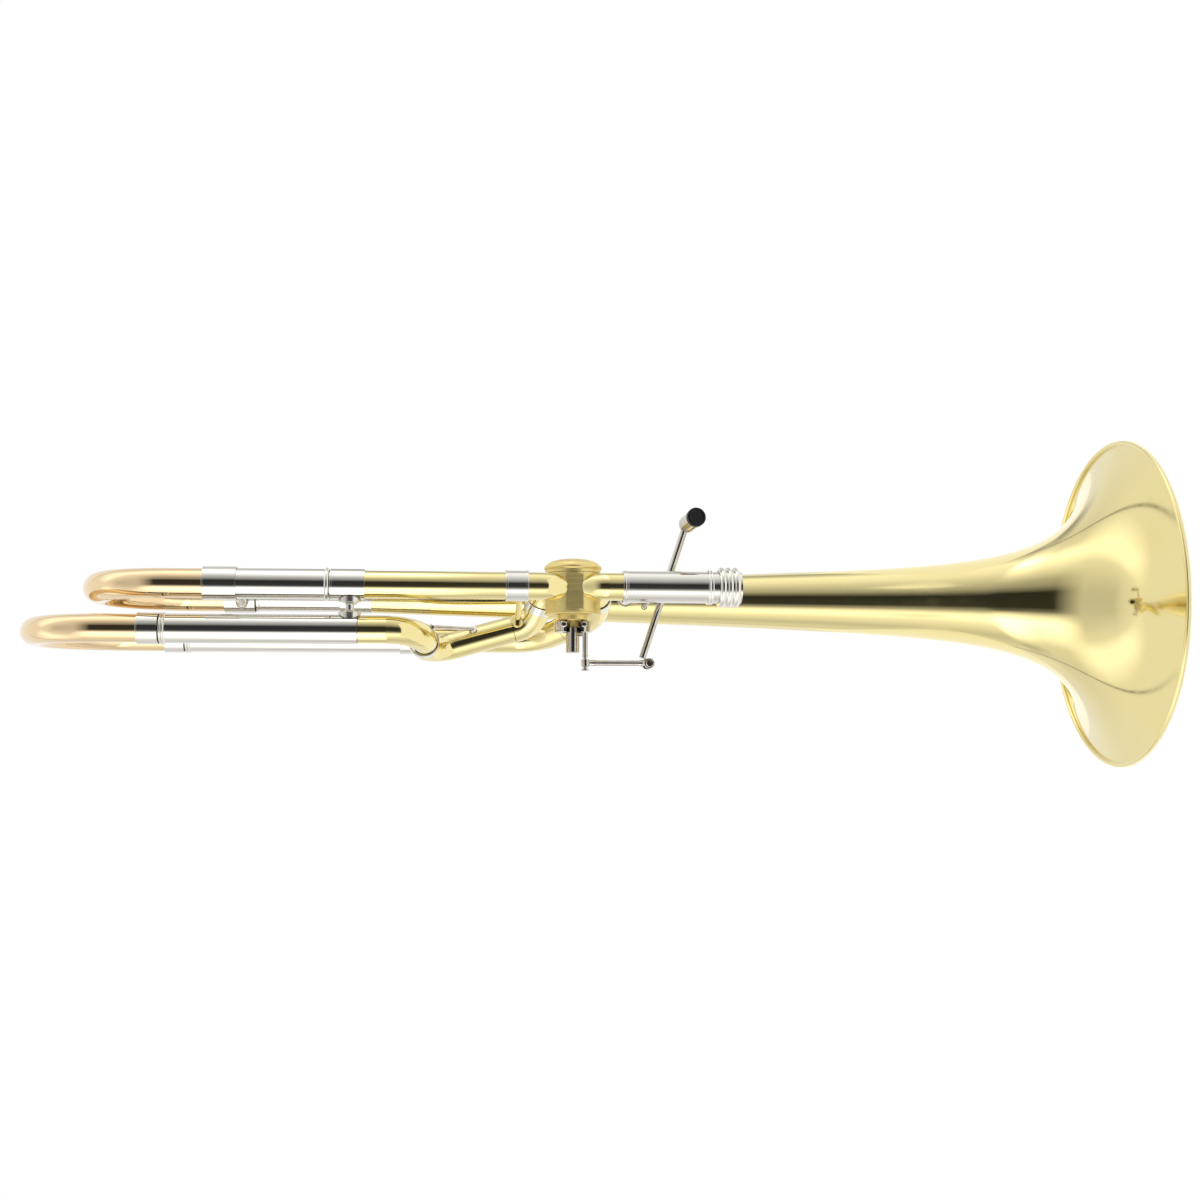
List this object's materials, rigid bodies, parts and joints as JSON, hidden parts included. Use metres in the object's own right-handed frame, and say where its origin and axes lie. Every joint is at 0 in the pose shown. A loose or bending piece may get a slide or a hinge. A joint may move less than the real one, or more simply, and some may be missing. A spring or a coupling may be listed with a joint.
{
  "type": "tenor trombone bell section",
  "caption": "Bell section of a large-bore tenor trombone with an open-wrap F attachment, tuning slides, rotary valve and thumb lever.",
  "frame": {"origin": "centre of the bell's mouth, on the plane that the bell's rim stands on", "axes": "+Z along the axis of the bell from the mouth to the bows, +X to the side of the valve's screw cap and the thumb, -Y to the neck line with the receiver and the valve"},
  "size_m": [0.2158, 0.2158, 0.6929],
  "materials": {
    "yellow_brass": "polished and lacquered yellow brass",
    "rose_brass": "polished and lacquered rose brass",
    "nickel_silver": "polished nickel silver",
    "black_plastic": "satin black",
    "rubber": "matt black",
    "spring_steel": "bright drawn wire"
  },
  "bodies": {
    "instrument": {"bell": "yellow_brass", "bell_brace": "nickel_silver", "bell_rim_bead": "yellow_brass", "bell_tail_ferrule": "nickel_silver", "f_crook": "yellow_brass", "f_cross_ferrule": "nickel_silver", "f_cross_tube": "yellow_brass", "f_drop_post": "nickel_silver", "f_near_elbow": "yellow_brass", "f_outer_tube_far": "nickel_silver", "f_outer_tube_near": "nickel_silver", "f_port_elbow": "yellow_brass", "f_port_ferrule_lower": "nickel_silver", "f_port_ferrule_upper": "nickel_silver", "f_return_ferrule": "nickel_silver", "f_return_tube": "yellow_brass", "f_wrap_bracket": "nickel_silver", "f_wrap_stay": "nickel_silver", "knuckle_f_lower": "yellow_brass", "knuckle_f_upper": "yellow_brass", "knuckle_neck_lower": "yellow_brass", "knuckle_neck_upper": "yellow_brass", "lever_pivot_screw": "nickel_silver", "lever_saddle": "nickel_silver", "lever_spring": "spring_steel", "main_fixed_ferrule_near": "nickel_silver", "main_inner_tube_near": "nickel_silver", "main_outer_tube_far": "nickel_silver", "neck_ferrule": "nickel_silver", "neck_tube": "yellow_brass", "receiver_brace": "nickel_silver", "receiver_collar": "nickel_silver", "receiver_sleeve": "nickel_silver", "stop_bumper_1": "rubber", "stop_bumper_2": "rubber", "stop_housing": "nickel_silver", "stop_screw_1": "nickel_silver", "stop_screw_2": "nickel_silver", "valve_bearing_plate": "nickel_silver", "valve_cap": "yellow_brass", "valve_casing": "yellow_brass"},
    "main_slide": {"main_bow": "rose_brass", "main_bow_ferrule_near": "nickel_silver", "main_bow_ferrule_far": "nickel_silver", "main_outer_tube_near": "nickel_silver", "main_inner_tube_far": "nickel_silver", "main_slide_brace": "nickel_silver"},
    "f_slide": {"f_bow": "rose_brass", "f_bow_ferrule_near": "nickel_silver", "f_bow_ferrule_far": "nickel_silver", "f_inner_tube_near": "nickel_silver", "f_inner_tube_far": "nickel_silver", "f_slide_brace": "nickel_silver"},
    "rotor": {"valve_rotor": "yellow_brass", "stop_arm": "nickel_silver"},
    "lever": {"thumb_lever": "nickel_silver", "thumb_barrel": "nickel_silver", "thumb_cap": "black_plastic"},
    "link": {"link_rod": "nickel_silver"}
  },
  "joints": [
    {"name": "thumb_lever_hinge", "type": "hinge", "parent": "instrument", "child": "lever", "pos_m": [-0.003, -0.077, 0.3193], "axis": [0, 1, 0], "range_deg": [0, 19.27], "stiffness_Nm_per_rad": 0.25, "springref_deg": -28.65},
    {"name": "rotor_hinge", "type": "hinge", "parent": "instrument", "child": "rotor", "pos_m": [0, -0.08, 0.3685], "axis": [-1, 0, 0], "range_deg": [0, 90]},
    {"name": "link_hinge", "type": "hinge", "parent": "lever", "child": "link", "pos_m": [-0.0445, -0.08811, 0.324], "axis": [0, 1, 0], "range_deg": [-25.3, 0]},
    {"name": "main_slide_pull", "type": "slide", "parent": "instrument", "child": "main_slide", "axis": [0, 0, 1], "range_m": [0, 0.04]},
    {"name": "f_slide_pull", "type": "slide", "parent": "instrument", "child": "f_slide", "axis": [0, 0, 1], "range_m": [0, 0.08]}
  ],
  "couplings": [
    {"joint": "rotor_hinge", "follows": "thumb_lever_hinge", "ratio": 4.6695},
    {"joint": "link_hinge", "follows": "thumb_lever_hinge", "ratio": -1.3056}
  ]
}
